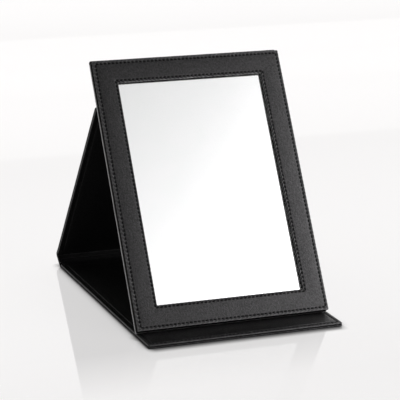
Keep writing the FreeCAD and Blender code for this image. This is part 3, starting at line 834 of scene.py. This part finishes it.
# ------------------------------------------------------------------ boards of the cover
def wrapped_board(name, rect, outer, face, part, inner, half=90.0, stitched_out=True,
                  stitched_in=True):
    """Leather round a board, from its outer face at z outer to its turned-in border at
    z face. The side has a groove, the seam, in painted shade between two ridges lightened
    by rubbing and painted highlight. half is the inset at the board's middle."""
    thick = face - outer
    seam = thick * 0.5
    r = seam / 2
    line, flange = COVER_STITCH, 13.0    # flange: width of the turned-in border
    s = Section()
    # heights are measured here from the outer face inwards
    s.line((half, 0.0), (8.0, 0.0), 22)
    s.line((7.2, 0.0), (line + 0.9, 0.0), 4)
    s.line((line + 0.7, 0.0), (line - 0.9, 0.0), 7)
    s.line((line - 1.1, 0.0), (r + 0.1, 0.01), 3, wear_and_highlight=0.1)
    # ridges of the side: rubbing plus painted highlight, strongest just under the seam
    s.arc((r, r), r, 264, 210, 5, wear_and_highlight=0.5)
    s.arc((r, r), r, 198, 172, 3, wear_and_highlight=0.3)
    s.arc((r, r), r, 160, 130, 4, wear_and_highlight=1.0)
    s.add([(0.62, seam - 0.24), (0.80, seam), (0.62, seam + 0.24)])
    s.arc((r, seam + r), r, 230, 170, 5, wear_and_highlight=0.15)
    s.arc((r, seam + r), r, 154, 96, 6, wear_and_highlight=0.6)
    s.line((r + 0.1, thick), (line - 1.0, thick), 3, wear_and_highlight=0.06)
    s.line((line - 0.8, thick), (line + 0.8, thick), 7)
    s.line((line + 1.0, thick), (flange, thick), 5)
    # hidden return along the inside
    s.add([(flange, thick - 0.5)])
    s.line((flange - 0.2, thick - 0.55), (0.95, thick - 0.55), 4)
    s.add([(0.8, thick - 0.7), (0.8, 0.85)])
    s.line((1.0, 0.8), (half, 0.8), 8, last=True)
    s.points = [(inset, outer + t) for inset, t in s.points]

    def relief(ring, side, inset, height):
        t = height - outer
        at_outer, at_face = t < 0.3, t > thick - 0.3
        total = np.zeros((3, len(ring)))
        if 0.6 < t < thick - 0.3 and inset > 0.7:      # hidden return
            return total
        # the seam groove is darkened with painted shade
        if inset < 0.7 and 0.4 < t < thick - 0.4:      # seam groove
            total[1] += 1.3 * clamp01((0.62 - abs(t - seam)) / 0.2)
        if (at_outer and stitched_out or at_face and stitched_in) and inset < 8.0:
            row = stitch_relief(rect, ring, side, inset, line, depth=0.30, channel=0.13,
                                toward=-1.0, ridge=0.06, reach=line)
            row[2] *= 1.0 if at_outer else 0.6
            total += row
        if inset < 0.5:
            distance, _ = rect.along(ring, side, 0.0)
            total[0] += 0.04 * smooth_noise(distance / 7.0 + side * 13.0, 15.0)
        if at_outer and inset > 5.0:
            wave = smooth_noise(ring[:, 0] / 23.0 - ring[:, 1] / 19.0, 31.0)
            total[0] -= 0.03 * (1 + wave)
        return total

    return sweep(name, rect, s, PLACES[part], LEATHER, relief, inner=inner)


def lining_sheet(name, rect, face, back, part, material=LINING_WITH_PAINTED_SHADE, inner=None):
    """A thin sheet with a soft edge and a barely wavy face, between two heights."""
    inset, half = LINING_IN, 92.0
    r = (face - back) * 0.95
    s = Section()
    s.line((half, face), (inset + 1.6, face), 24)
    s.add([(inset + 1.0, face)], wear_and_highlight=0.2)
    s.arc((inset + r, face - r), r, 100, 170, 5, wear_and_highlight=0.6)
    s.add([(inset, back)], wear_and_highlight=0.2)
    s.line((inset + 0.5, back), (half, back), 6, last=True)

    def relief(ring, side, ring_inset, height):
        total = np.zeros((3, len(ring)))
        if abs(height - face) <= 0.05 and ring_inset >= inset + 1.2:
            x, y = ring[:, 0], ring[:, 1]
            total[0] = -0.025 * (1 + smooth_noise(x / 17.0 + y / 31.0, 41.0)
                                 * smooth_noise(y / 15.0, 42.0))
        return total

    sheet = sweep(name, rect, s, PLACES[part], material, relief, inner=inner)
    register(sheet, rides=part, replaces=name.replace("_sheet", ""))


def off_sides(verts):
    """0 at the cover's left and right edges, 1 a little way in."""
    return ease(COVER_W / 2 - abs(verts[:, 0]), 0.3, 1.2)


def leg_shade(verts):
    return ease(verts[:, 2], -0.9, -0.3) * off_sides(verts)


def base_shade(verts):
    return (ease(verts[:, 1], 20.0, 60.0) * ease(verts[:, 2], BASE_T - 1.0, BASE_T - 0.3)
            * off_sides(verts))


def base_lining_shade(verts):
    """Dark under the panel, and along the front edge, where it eases to the right."""
    x, y, _ = verts.T
    return np.maximum(ease(y, 24.0, 48.0),
                      (1 - ease(y, 2.0, 27.0)) * (1 - 0.75 * ease(x, 15.0, 90.0)))


# leg, and the strip glued to the panel's back above the crease
leg_rect = cover_rect(LEG_Y0, LEG_Y1, radius=1.8, step=0.6)
leg_cover = wrapped_board("leg_cover_leather", leg_rect, LEG_OUT, LEG_IN, "leg", leg_shade)
register(leg_cover, rides="leg", replaces="leg_cover")

strip_rect = Rect(-COVER_W / 2 - PANEL_X + STRIP_IN, COVER_W / 2 - PANEL_X - STRIP_IN,
                  STRIP_Y0, STRIP_Y1, radius=1.3, step=0.6)
# the whole strip is dimmed with painted shade
strip = wrapped_board("top_strip_leather", strip_rect, STRIP_OUT, STRIP_FACE,
                      "mirror_panel", inner=lambda verts: np.full(len(verts), 0.55),
                      half=20.0, stitched_in=False)
register(strip, rides="mirror_panel", replaces="top_strip")
stitches("top_strip_stitches", strip_rect, COVER_STITCH, STRIP_OUT, "mirror_panel",
         outward=-1.0)
stitches("leg_outer_stitches", leg_rect, COVER_STITCH, LEG_OUT, "leg", outward=-1.0,
         replaces="leg_stitching")
stitches("leg_inner_stitches", leg_rect, COVER_STITCH, LEG_IN, "leg")
lining_sheet("leg_lining_sheet",
             cover_rect(LEG_Y0, LEG_Y1, radius=6.9, step=2.2, keep_radius=1.5),
             face=0.33, back=-0.12, part="leg")

# base
base_rect = cover_rect(0, BASE_D, radius=1.9, step=0.6)
base_cover = wrapped_board("base_cover_leather", base_rect, 0.0, BASE_T, "base", base_shade,
                           stitched_out=False)
register(base_cover, rides="base", replaces="base_cover")
stitches("base_stitches", base_rect, COVER_STITCH, BASE_T, "base",
         replaces="base_stitching")
lining_sheet("base_lining_sheet",
             cover_rect(0, BASE_D, radius=6.9, step=2.2, keep_radius=1.5),
             face=BASE_T + 0.47, back=BASE_T + 0.03, part="base", material=BASE_LINING_WITH_PAINTED_SHADE,
             inner=base_lining_shade)


# ------------------------------------------------------------------ spine
def spine_cover_section():
    s = Section()
    s.line((4.8, -1.6), (1.2, -1.6), 5)
    s.arc((0.75, -0.86), 0.75, 262, 188, 6, wear_and_highlight=0.8)
    s.add([(0.0, -0.2), (0.0, 0.2)], wear_and_highlight=0.3)
    s.arc((0.6, 0.58), 0.6, 172, 98, 5, wear_and_highlight=0.6)
    s.line((0.8, 1.2), (2.9, 1.2), 3)
    s.add([(3.0, 0.95)])
    s.line((2.8, 0.66), (0.95, 0.66), 3)
    s.add([(0.8, 0.5), (0.8, -0.6)])
    s.line((1.0, -0.79), (4.8, -0.79), 3, last=True)
    return s


def spine_lining_section():
    s = Section()
    s.line((4.7, 1.66), (1.6, 1.66), 5)
    s.add([(1.2, 1.62)], wear_and_highlight=0.3)
    s.add([(1.02, 1.48), (0.98, 1.34)], wear_and_highlight=0.4)
    s.add([(1.05, 1.24)])
    s.line((1.6, 1.23), (4.7, 1.23), 4, last=True)
    return s


spine_rect = cover_rect(SPINE_GAP, SPINE_L - SPINE_GAP, radius=0.9, step=1.0, arc=4,
                        keep_radius=0.3)
spine_cover = sweep("spine_cover_leather", spine_rect, spine_cover_section(),
                    PLACES["spine"], LEATHER)
register(spine_cover, rides="spine", replaces="spine_cover")
spine_lining = sweep("spine_lining_sheet", spine_rect, spine_lining_section(),
                     PLACES["spine"], LINING_WITH_PAINTED_SHADE)
register(spine_lining, rides="spine", replaces="spine_lining")


# ------------------------------------------------------------------ webs across the hinges
def world_yz(part, y, z):
    point = PLACES[part] @ Vector((0, y, z))
    return point.y, point.z


def web(name, path, start, end, half_width, thick, material, slot, wear_and_highlight, ripple=0.10,
        replaces=None):
    """A flexible sheet between two parts. path gives each part's (y, z) points in its
    own axes; start and end, where the bend begins on the first and second part, are not used."""
    knots = np.array([world_yz(part, y, z) for part in path for y, z in path[part]])
    knots = np.vstack([2 * knots[0] - knots[1], knots, 2 * knots[-1] - knots[-2]])
    middle = []
    # a Catmull-Rom curve through the points
    for before, here, there, after in zip(knots, knots[1:], knots[2:], knots[3:]):
        for t in np.linspace(0, 1, 7, endpoint=False):
            middle.append(0.5 * ((2 * here) + (-before + there) * t
                                 + (2 * before - 5 * here + 4 * there - after) * t * t
                                 + (-before + 3 * here - 3 * there + after) * t ** 3))
    middle.append(knots[-2])
    middle = np.array(middle)
    normal = turned(unit(np.gradient(middle, axis=0)))
    count = len(middle)
    steps = np.arange(count)
    taper = np.clip(np.minimum(steps, steps[::-1]) / 3.0, 0.25, 1.0)   # thin at both ends
    offset = normal * (thick / 2 * taper)[:, None]
    loop = np.vstack([middle + offset, (middle - offset)[::-1]])
    centre = np.vstack([middle, middle[::-1]])
    loop_normal = np.vstack([normal, normal[::-1]])
    fall = np.concatenate([np.sin(np.linspace(0, np.pi, count)),
                           np.sin(np.linspace(np.pi, 0, count))])
    # stations: x, share of the thickness, wear (rubbing plus painted highlight)
    between = np.arange(-half_width, half_width + 1e-6, 1.5)[1:-1]
    stations = ([(-half_width, 0.55, 0.6), (-half_width + 0.3, 0.92, 0.6)]
                + [(x, 1.0, wear_and_highlight) for x in between]
                + [(half_width - 0.3, 0.92, 0.6), (half_width, 0.55, 0.6)])
    verts, wear_and_highlights = [], []
    for x, share, station_wear_and_highlight in stations:
        wave = ripple * (smooth_noise(x / 6.5, 51.0) + 0.5 * smooth_noise(x / 2.7, 52.0))
        ring = centre + (loop - centre) * share + loop_normal * (wave * fall)[:, None]
        verts += [(x, y, z) for y, z in ring]
        wear_and_highlights += [station_wear_and_highlight] * len(ring)
    sheet = make_object(name, np.array(verts) * MM, tube_faces(len(stations), len(loop)),
                        material, {"wear_and_highlight": wear_and_highlights})
    register(sheet, replaces=replaces)
    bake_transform(sheet)


OUTER_WEB = dict(half_width=92.6, thick=0.62, material=LEATHER, slot="leatherette", wear_and_highlight=0.2)
LINING_WEB = dict(half_width=90.6, thick=0.42, material=LINING_WITH_PAINTED_SHADE, slot="lining", wear_and_highlight=0.3)
CREASE_WEB = dict(half_width=91.4, thick=0.55, material=LEATHER, slot="leatherette",
                  wear_and_highlight=0.3, ripple=0.08)

web("base_hinge_web",
    {"base": [(268.6, 0.33), (271.2, 0.35), (273.9, 0.74)],
     "spine": [(1.7, -1.82), (4.0, -1.86), (6.0, -1.80)]},
    start=(271.6, 1.0), end=(1.6, -0.8), replaces="base_hinge", **OUTER_WEB)
web("leg_hinge_web",
    {"spine": [(7.4, -1.80), (9.6, -1.88), (11.7, -2.02), (13.6, -1.62)],
     "leg": [(-0.2, -3.92), (2.2, -4.02), (4.6, -3.92), (6.4, -3.82)]},
    start=(SPINE_L - 1.9, -1.2), end=(2.0, -3.2), replaces="leg_hinge", **OUTER_WEB)
web("base_hinge_lining",
    {"base": [(263.6, BASE_T + 0.34), (266.4, BASE_T + 0.33), (269.6, BASE_T + 0.33),
              (272.0, BASE_T + 0.72)],
     "spine": [(3.4, 1.78), (5.2, 1.84)]},
    start=(270.0, BASE_T), end=(2.6, 1.5), **LINING_WEB)
web("leg_hinge_lining",
    {"spine": [(5.8, 1.86), (8.0, 1.84), (9.8, 1.86), (11.0, 2.40)],
     "leg": [(4.4, 0.34), (6.2, 0.20), (9.0, 0.12)]},
    start=(SPINE_L - 3.0, 1.8), end=(3.6, 0.2), **LINING_WEB)
# between the leg and the strip on the panel's back
web("crease_web",
    {"leg": [(218.6, -3.86), (221.4, -3.86), (223.6, -3.50), (225.2, -2.2), (226.1, -0.75)],
     "mirror_panel": [(214.6, -13.35), (216.4, -13.72), (219.2, -13.70)]},
    start=(225.0, -1.8), end=(215.2, -13.3), replaces="crease_hinge", **CREASE_WEB)

# ------------------------------------------------------------------ pieces kept from the CAD
KEPT_PIECES = {
    "frame_board": CARD, "backing_board": CARD, "filler_card": CARD, "leg_board": CARD,
    "spine_board": CARD, "base_board": CARD, "glass_tape": TAPE, "joining_tape": TAPE,
    "closure_magnets": MAGNET, "closure_plates": STEEL,
}
for node_name, kept_material in KEPT_PIECES.items():
    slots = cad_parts[node_name].data.materials
    slots.clear()
    slots.append(kept_material)


# ------------------------------------------------------------------ floor (metres from here)
def floor_material():
    """Pale gloss that glows a little, more towards the backdrop, with painted contact
    shadow where the object touches it; its reflection fades out forwards."""
    material, s = start_material("studio_floor")
    where = s.node("NewGeometry").outputs["Position"]
    x, y, _ = s.node("SeparateXYZ", [where]).outputs
    backdrop = s.remap(y, over=(-0.25, 1.75))
    # painted contact shadow: ambient occlusion cuts the glow near the object
    occlusion = s.node("AmbientOcclusion", {"Distance": 0.0085}, samples=12).outputs["AO"]
    touch = s.math("POWER", s.remap(occlusion, over=(0.42, 0.97), to=(0.02, 1.0)), 1.15)
    # shadow on the floor just in front of the base, no wider than it
    ahead = s.remap(y, over=(-0.1540, -0.1450), to=(0.0, 0.82))
    beside = s.remap(s.node("Math", [x], operation="ABSOLUTE").outputs[0],
                     over=(0.088, 0.096), to=(1.0, 0.0))
    outside = s.math("LESS_THAN", y, -0.1420)
    shadow = s.multiply(ahead, s.multiply(beside, outside))
    touch = s.multiply(touch, s.subtract(1.0, shadow))
    # glow: 0.787 at the front, 0.11 more at the back
    glow = s.add(0.787, s.multiply(backdrop, 0.11))
    diffuse = s.node("BsdfDiffuse", {"Color": (0.30, 0.297, 0.296)})
    emission = s.node("Emission", {"Color": (1.0, 0.988, 0.986),
                                   "Strength": s.multiply(glow, touch)})
    body = s.node("AddShader", [diffuse.outputs[0], emission.outputs[0]])
    gloss = s.node("BsdfGlossy", {"Color": (1, 1, 1), "Roughness": 0.03})
    share = s.remap(y, over=(-0.245, -0.14), to=(0.015, 0.23))
    s.finish("MixShader", [share, body.outputs[0], gloss.outputs[0]])
    return material


def build_floor():
    """A floor that curves up at the back into a wall."""
    half_width, front, curve_start, radius, wall_top = 5.0, -4.0, 1.1, 0.9, 4.0
    drop = 0.00006                       # just clear of the base
    profile = [(front, 0.0), (curve_start, 0.0)]
    profile += [(curve_start + radius * math.sin(a), radius - radius * math.cos(a))
                for a in np.radians(np.linspace(6, 90, 15))]
    profile.append((curve_start + radius, wall_top))
    points = [(x, y, z - drop) for x in (-half_width, half_width) for y, z in profile]
    count = len(profile)
    faces = [(i, count + i, count + i + 1, i + 1) for i in range(count - 1)]
    return make_object("studio_sweep", points, faces, floor_material(), closed=False)


floor = build_floor()

# ------------------------------------------------------------------ world
SHINE = Vector((0.341, -0.668, 0.660)).normalized()   # where the glass sends the view


def build_world():
    """Near-white to the camera; otherwise dim, with a glow round SHINE."""
    dim, through_glass, peak, seen = 0.08, 0.44, 0.77, 0.95    # strengths
    world = bpy.data.worlds.new("studio")
    scene.world = world
    s = Shader(world, "OutputWorld")
    towards = s.node("VectorMath", [s.coords("Generated"), SHINE], operation="DOT_PRODUCT")
    glow = s.remap(towards.outputs["Value"], over=(0.76, 0.975))
    path = s.node("LightPath").outputs
    camera_ray = path["Is Camera Ray"]
    through = s.math("GREATER_THAN", path["Transmission Depth"], 0.5)
    around = s.add(dim, s.multiply(through, through_glass))
    ambient = s.add(around, s.multiply(glow, s.subtract(peak, around)))
    direct = s.multiply(camera_ray, seen)
    indirect = s.multiply(ambient, s.subtract(1.0, camera_ray))
    s.finish("Background", [(1.0, 1.0, 1.0), s.add(direct, indirect)])


build_world()


# ------------------------------------------------------------------ lights
def softbox(name, centre, facing, right, size, radiance, colour, spare,
            ramp_x=(0.0, 1.0), ramp_y=(0.0, 0.0), power=1.0, foot=(0.0, 0.0, 0.0)):
    """Area light that fades across itself and skips the spare pieces. Brightness is the
    sum of both ramps (slope, offset) to a power, plus foot's x slope, y slope, offset."""
    light = bpy.data.lights.new(name, "AREA")
    light.shape = "RECTANGLE"
    light.size, light.size_y = size
    light.energy = radiance * math.pi * size[0] * size[1]
    light.color = colour
    s = Shader(light, "OutputLight")
    across = s.node("NewGeometry").outputs["Parametric"]
    x, y, _ = s.node("SeparateXYZ", [across]).outputs
    body = s.add(s.multiply(x, ramp_x[0]), ramp_x[1])
    body = s.add(body, s.add(s.multiply(y, ramp_y[0]), ramp_y[1]), clamp=True)
    body = s.math("POWER", body, power)
    base = s.add(s.multiply(x, foot[0]), s.add(s.multiply(y, foot[1]), foot[2]), clamp=True)
    s.finish("Emission", {"Strength": s.add(body, base)})

    box = bpy.data.objects.new(name, light)
    scene.collection.objects.link(box)
    z = -facing.normalized()
    x = right.normalized()
    axes = Matrix((x, z.cross(x), z)).transposed()
    box.matrix_world = Matrix.Translation(centre) @ axes.to_4x4()
    box.visible_diffuse = False
    box.visible_camera = False
    group = bpy.data.collections.new(name + "_spares")
    for piece in spare:
        group.objects.link(piece)
    for item in group.collection_objects:
        item.light_linking.link_state = "EXCLUDE"
    box.light_linking.receiver_collection = group


PANEL_MIDDLE = Vector((-1.1, -43.8, 113.4)) * MM
BOX_RIGHT = Vector((0.891, 0.455, 0.0)).normalized()
BOX_DOWN = Vector((0.300, -0.588, -0.751)).normalized()

# a large box that the glass mirrors, fading across both ways
softbox("key_softbox", PANEL_MIDDLE + SHINE * 0.6 + BOX_RIGHT * 0.40 + BOX_DOWN * 0.12,
        facing=-SHINE, right=BOX_RIGHT, size=(1.3, 1.0), radiance=6.0,
        colour=(1.0, 0.975, 1.0), spare=(floor,), ramp_x=(2.08, 0.0), ramp_y=(-1.6, 0.80),
        power=3.0, foot=(0.112, -0.228, 0.163))
# a smaller one close on the right, which the glass doesn't show
SIDE_CENTRE = Vector((0.318, -0.176, 0.196))
softbox("side_softbox", SIDE_CENTRE, facing=Vector((0.081, -0.044, 0.113)) - SIDE_CENTRE,
        right=BOX_RIGHT, size=(0.22, 0.30), radiance=3.4, colour=(1.0, 0.985, 1.0),
        spare=(floor, glass, silver))


# ------------------------------------------------------------------ camera
def build_camera():
    yaw, pitch, roll = math.radians(-20.612), math.radians(14.184), math.radians(0.011)
    target = Vector((-10.6506, -51.06, 105.2309)) * MM
    distance = 1680.2877 * MM
    data = bpy.data.cameras.new("camera")
    data.sensor_width = 36.0
    data.lens = 164.961
    data.clip_start, data.clip_end = 0.05, 50.0
    camera = bpy.data.objects.new("camera", data)
    scene.collection.objects.link(camera)
    back = Vector((math.sin(yaw) * math.cos(pitch), -math.cos(yaw) * math.cos(pitch),
                   math.sin(pitch)))
    right = Vector((math.cos(yaw), math.sin(yaw), 0.0))
    up = back.cross(right)
    axes = Matrix((right * math.cos(roll) + up * math.sin(roll),
                   -right * math.sin(roll) + up * math.cos(roll), back)).transposed()
    camera.matrix_world = Matrix.Translation(target + back * distance) @ axes.to_4x4()
    scene.camera = camera


build_camera()

scene.view_settings.view_transform = "Standard"
scene.view_settings.look = "None"
scene.view_settings.exposure = 0.0
